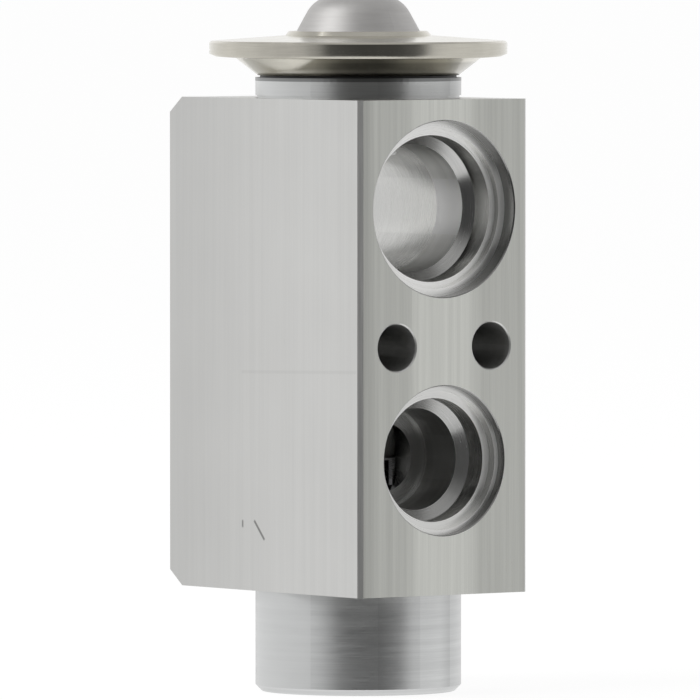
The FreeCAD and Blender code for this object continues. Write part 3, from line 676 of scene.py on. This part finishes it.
def direction(azimuth, elevation):
    """Unit vector away from the object. Azimuth 0 is toward -Y, and a quarter turn toward +X."""
    level = math.cos(elevation)
    return Vector((math.sin(azimuth) * level, -math.cos(azimuth) * level, math.sin(elevation)))


def look_back(thing, away):
    """Turns a camera or lamp, which stands away from the object, to face it."""
    thing.rotation_mode = "QUATERNION"
    thing.rotation_quaternion = (-away).to_track_quat("-Z", "Y")


def make_camera():
    data = bpy.data.cameras.new("camera")
    data.sensor_width = SENSOR
    data.lens = CAMERA_LENS
    data.clip_end = CLIP_END
    camera = new_object("camera", data)
    aside = Vector((math.cos(CAMERA_AZIMUTH), math.sin(CAMERA_AZIMUTH), 0.0))
    aim = Vector((0.0, 0.0, AIM_HEIGHT)) + AIM_ASIDE * aside
    away = direction(CAMERA_AZIMUTH, CAMERA_ELEVATION)
    camera.location = aim + CAMERA_DISTANCE * away
    look_back(camera, away)
    bpy.context.scene.camera = camera


# The one soft lamp, with its azimuth from the camera's
LAMP_AZIMUTH = math.radians(-70)
LAMP_ELEVATION = math.radians(45)
LAMP_DISTANCE = 1.2
LAMP_SIZE = 0.9
LAMP_WATTS = 4.0


def make_lamp():
    data = bpy.data.lights.new("key_lamp", "AREA")
    data.size = LAMP_SIZE
    data.energy = LAMP_WATTS
    lamp = new_object("key_lamp", data)
    away = direction(CAMERA_AZIMUTH + LAMP_AZIMUTH, LAMP_ELEVATION)
    lamp.location = Vector((0.0, 0.0, AIM_HEIGHT)) + LAMP_DISTANCE * away
    look_back(lamp, away)


# A hair below the boss, so that the two faces don't fight
FLOOR = -HAIR * MM
FLOOR_REACH = 12.0
FLOOR_COLOUR = (0.86, 0.86, 0.86, 1.0)
# The floor's own light, which only the camera and reflections see
FLOOR_GLOW = 1.16
FLOOR_GLOW_SHARE = 0.75
WHITE = (1.0, 1.0, 1.0, 1.0)


def make_floor():
    material = bpy.data.materials.new("floor_white")
    material.use_nodes = True
    nodes = Nodes(material.node_tree)
    matt = nodes.add("ShaderNodeBsdfDiffuse")
    nodes.feed(matt.inputs["Color"], FLOOR_COLOUR)
    glow = nodes.add("ShaderNodeEmission")
    nodes.feed(glow.inputs["Color"], WHITE)
    nodes.feed(glow.inputs["Strength"], FLOOR_GLOW)
    path = nodes.add("ShaderNodeLightPath")
    seen = nodes.maths("MAXIMUM", path.outputs["Is Camera Ray"], path.outputs["Is Glossy Ray"])
    blend = nodes.add("ShaderNodeMixShader")
    nodes.feed(blend.inputs[0], nodes.times(seen, FLOOR_GLOW_SHARE))
    nodes.feed(blend.inputs[1], matt.outputs[0])
    nodes.feed(blend.inputs[2], glow.outputs[0])
    output = nodes.add("ShaderNodeOutputMaterial")
    nodes.feed(output.inputs["Surface"], blend.outputs[0])

    mesh = bpy.data.meshes.new("floor")
    corners = [(x * FLOOR_REACH, y * FLOOR_REACH, FLOOR) for x, y in ((-1, -1), (1, -1), (1, 1), (-1, 1))]
    mesh.from_pydata(corners, [], [(0, 1, 2, 3)])
    mesh.materials.append(material)
    floor = new_object("floor", mesh)
    floor.visible_glossy = False


# How bright the studio's walls are at an azimuth from the camera's, in degrees. The wall behind
# the camera is dark, as the room is there.
WALLS = (
    (-180, 1.00), (-125, 0.80), (-100, 0.71), (-70, 0.56), (-46, 0.54), (-34, 0.37), (-22, 0.08),
    (0, 0.055), (30, 0.07), (44, 0.10), (51, 0.16), (61, 0.62), (75, 0.70), (120, 0.76), (180, 1.00),
)
CEILING = 0.50
TABLE = 0.95
# Heights of a direction, as the sine of its elevation, where the walls give way to these
CEILING_EDGE = (0.35, 0.85)
TABLE_EDGE = math.sin(math.radians(-36))
TABLE_BLUR = 0.02


def grey(level):
    return (level, level, level, 1.0)


def make_world():
    world = bpy.data.worlds.new("studio")
    bpy.context.scene.world = world
    world.use_nodes = True
    nodes = Nodes(world.node_tree)
    x, y, z = nodes.parts(nodes.add("ShaderNodeTexCoord").outputs["Generated"])
    front_x, front_y = math.sin(CAMERA_AZIMUTH), -math.cos(CAMERA_AZIMUTH)
    ahead = nodes.total(nodes.times(x, front_x), nodes.times(y, front_y))
    aside = nodes.total(nodes.times(x, -front_y), nodes.times(y, front_x))
    turn = nodes.maths("ARCTAN2", aside, ahead)

    ramp = nodes.add("ShaderNodeValToRGB")
    nodes.feed(ramp.inputs[0], nodes.total(nodes.times(turn, 0.5 / math.pi), 0.5))
    ramp.color_ramp.interpolation = "EASE"
    elements = ramp.color_ramp.elements
    while len(elements) > 1:
        elements.remove(elements[-1])
    for index, (angle, level) in enumerate(WALLS):
        spot = (angle + 180) / 360
        element = elements[0] if index == 0 else elements.new(spot)
        element.position = spot
        element.color = grey(level)

    lift = nodes.spread(z, *CEILING_EDGE)
    walls = nodes.mixed(lift, ramp.outputs[0], grey(CEILING), "RGBA")
    below = nodes.spread(z, TABLE_EDGE - TABLE_BLUR, TABLE_EDGE + TABLE_BLUR, 1.0, 0.0)
    round_about = nodes.mixed(below, walls, grey(TABLE), "RGBA")
    path = nodes.add("ShaderNodeLightPath")
    seen = nodes.mixed(path.outputs["Is Camera Ray"], round_about, WHITE, "RGBA")
    background = nodes.add("ShaderNodeBackground")
    nodes.feed(background.inputs["Color"], seen)
    output = nodes.add("ShaderNodeOutputWorld")
    nodes.feed(output.inputs["Surface"], background.outputs[0])


def main():
    bpy.context.scene.view_settings.view_transform = "Standard"
    finishes = dress_nodes()
    make_collar_edge(finishes["block_aluminium"])
    make_spring()
    make_diaphragm()
    make_camera()
    make_world()
    make_floor()
    make_lamp()


main()
